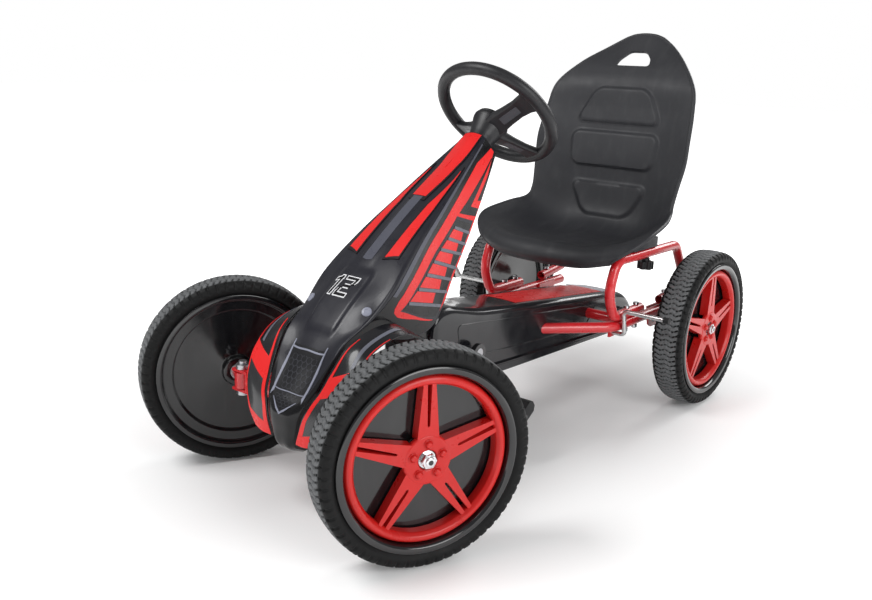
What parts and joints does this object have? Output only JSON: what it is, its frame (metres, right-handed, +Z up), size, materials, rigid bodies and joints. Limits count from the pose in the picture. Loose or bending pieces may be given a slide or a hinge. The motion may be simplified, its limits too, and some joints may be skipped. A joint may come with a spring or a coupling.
{
  "type": "pedal go kart",
  "caption": "Chain-driven ride-on go kart with steered front wheels, bucket seat on a bent-tube frame, hand brake and moulded nose cover.",
  "frame": {"origin": "on the ground under the middle of the kart's length and width", "axes": "+X to the driver's left, +Y backwards, +Z up"},
  "size_m": [0.5885, 1.0836, 0.674],
  "materials": {
    "tyre_rubber": "satin",
    "rim_black": "gloss",
    "star_red": "satin",
    "bush_plastic": "matte",
    "bolt_zinc": "gloss",
    "axle_steel": "satin",
    "frame_red": "gloss",
    "column_black": "satin",
    "wheel_black": "satin",
    "trim_grey": "satin",
    "nose_grey": "satin",
    "wing_black": "satin",
    "guard_black": "gloss",
    "seat_grey": "matte",
    "knob_black": "matte",
    "pedal_black": "matte",
    "bar_zinc": "satin",
    "grip_rubber": "matte"
  },
  "bodies": {
    "frame": {"axle_brackets": "frame_red", "axle_bushes": "bush_plastic", "axle_yokes": "frame_red", "brake_brackets": "frame_red", "chain": "axle_steel", "chain_guard_lower": "guard_black", "chain_guard_upper": "guard_black", "column_bushes": "bush_plastic", "column_holders": "frame_red", "column_supports": "frame_red", "crank_bushes": "bush_plastic", "front_axle_tube": "frame_red", "hoop_bolts": "bolt_zinc", "kingpins": "axle_steel", "main_tube": "frame_red", "nose_cover": "nose_grey", "seat_hoops": "frame_red", "side_tube_left": "frame_red", "side_tube_right": "frame_red", "side_wing_left": "wing_black", "side_wing_right": "wing_black"},
    "seat": {"seat_shell": "seat_grey"},
    "seat_knob_left": {"seat_knob_left": "knob_black"},
    "seat_knob_right": {"seat_knob_right": "knob_black"},
    "steering": {"steering_column": "column_black", "steering_wheel": "wheel_black", "wheel_cap": "wheel_black", "spoke_inlays": "trim_grey"},
    "knuckle_left": {"knuckle_left": "frame_red", "front_left_nut": "bolt_zinc"},
    "knuckle_right": {"knuckle_right": "frame_red", "front_right_nut": "bolt_zinc"},
    "tie_rod_left": {"tie_rod_left": "axle_steel"},
    "tie_rod_right": {"tie_rod_right": "axle_steel"},
    "front_left_wheel": {"front_left_tyre": "tyre_rubber", "front_left_rim": "rim_black", "front_left_star": "star_red", "front_left_bushes": "bush_plastic"},
    "front_right_wheel": {"front_right_tyre": "tyre_rubber", "front_right_rim": "rim_black", "front_right_star": "star_red", "front_right_bushes": "bush_plastic"},
    "rear_axle": {"rear_axle": "axle_steel", "axle_collars": "axle_steel", "rear_sprocket": "axle_steel", "rear_hub_nuts": "bolt_zinc", "rear_left_tyre": "tyre_rubber", "rear_left_rim": "rim_black", "rear_left_star": "star_red"},
    "rear_right_wheel": {"rear_right_tyre": "tyre_rubber", "rear_right_rim": "rim_black", "rear_right_star": "star_red", "rear_right_bushes": "bush_plastic"},
    "crank": {"crank_axle": "axle_steel", "crank_arms": "column_black", "chainwheel": "axle_steel"},
    "pedal_left": {"pedal_left": "pedal_black"},
    "pedal_right": {"pedal_right": "pedal_black"},
    "brake": {"brake_bar": "bar_zinc", "brake_grip_and_caps": "grip_rubber"}
  },
  "joints": [
    {"name": "steering", "type": "hinge", "parent": "frame", "child": "steering", "pos_m": [0, 0.017, 0.5345], "axis": [0, 0.7349, 0.6782], "range_deg": [-4.15, 55.85]},
    {"name": "steer_left", "type": "hinge", "parent": "frame", "child": "knuckle_left", "pos_m": [0.1597, -0.38, 0.145], "axis": [0, 0, 1], "range_deg": [-4, 52.5]},
    {"name": "steer_right", "type": "hinge", "parent": "frame", "child": "knuckle_right", "pos_m": [-0.1597, -0.38, 0.145], "axis": [0, 0, 1], "range_deg": [-4.6, 60]},
    {"name": "tie_rod_left_pivot", "type": "hinge", "parent": "knuckle_left", "child": "tie_rod_left", "pos_m": [0.17603, -0.34349, 0.1395], "axis": [0, 0, 1], "range_deg": [-52.5, 4]},
    {"name": "tie_rod_right_pivot", "type": "hinge", "parent": "knuckle_right", "child": "tie_rod_right", "pos_m": [-0.14117, -0.34455, 0.1395], "axis": [0, 0, 1], "range_deg": [-60, 4.6]},
    {"name": "front_left_spin", "type": "hinge", "parent": "knuckle_left", "child": "front_left_wheel", "pos_m": [0.1597, -0.38, 0.145], "axis": [0.9128, -0.4083, 0], "continuous": true},
    {"name": "front_right_spin", "type": "hinge", "parent": "knuckle_right", "child": "front_right_wheel", "pos_m": [-0.1597, -0.38, 0.145], "axis": [0.8862, -0.4633, 0], "continuous": true},
    {"name": "rear_axle_spin", "type": "hinge", "parent": "frame", "child": "rear_axle", "pos_m": [0, 0.397, 0.145], "axis": [1, 0, 0], "continuous": true},
    {"name": "rear_right_spin", "type": "hinge", "parent": "rear_axle", "child": "rear_right_wheel", "pos_m": [-0.2193, 0.397, 0.145], "axis": [1, 0, 0], "continuous": true},
    {"name": "crank_spin", "type": "hinge", "parent": "frame", "child": "crank", "pos_m": [0, -0.095, 0.172], "axis": [1, 0, 0], "continuous": true},
    {"name": "pedal_left_spin", "type": "hinge", "parent": "crank", "child": "pedal_left", "pos_m": [0.115, -0.07902, 0.0814], "axis": [1, 0, 0], "continuous": true},
    {"name": "pedal_right_spin", "type": "hinge", "parent": "crank", "child": "pedal_right", "pos_m": [-0.115, -0.11098, 0.2626], "axis": [1, 0, 0], "continuous": true},
    {"name": "brake_swing", "type": "hinge", "parent": "frame", "child": "brake", "pos_m": [0, 0.232, 0.149], "axis": [-1, 0, 0], "range_deg": [0, 38]},
    {"name": "seat_slide", "type": "slide", "parent": "frame", "child": "seat", "axis": [0, 1, 0], "range_m": [-0.03, 0.01]},
    {"name": "knob_left_turn", "type": "hinge", "parent": "seat", "child": "seat_knob_left", "pos_m": [0.135, 0.32, 0.256], "axis": [0, 0, 1], "range_deg": [-180, 180]},
    {"name": "knob_right_turn", "type": "hinge", "parent": "seat", "child": "seat_knob_right", "pos_m": [-0.135, 0.32, 0.256], "axis": [0, 0, 1], "range_deg": [-180, 180]}
  ],
  "couplings": [
    {"joint": "steer_left", "follows": "steering", "ratio": 0.9323},
    {"joint": "steer_right", "follows": "steering", "ratio": 1.0677},
    {"joint": "tie_rod_left_pivot", "follows": "steering", "ratio": -0.9323},
    {"joint": "tie_rod_right_pivot", "follows": "steering", "ratio": -1.0677},
    {"joint": "crank_spin", "follows": "rear_axle_spin", "ratio": 0.65}
  ]
}
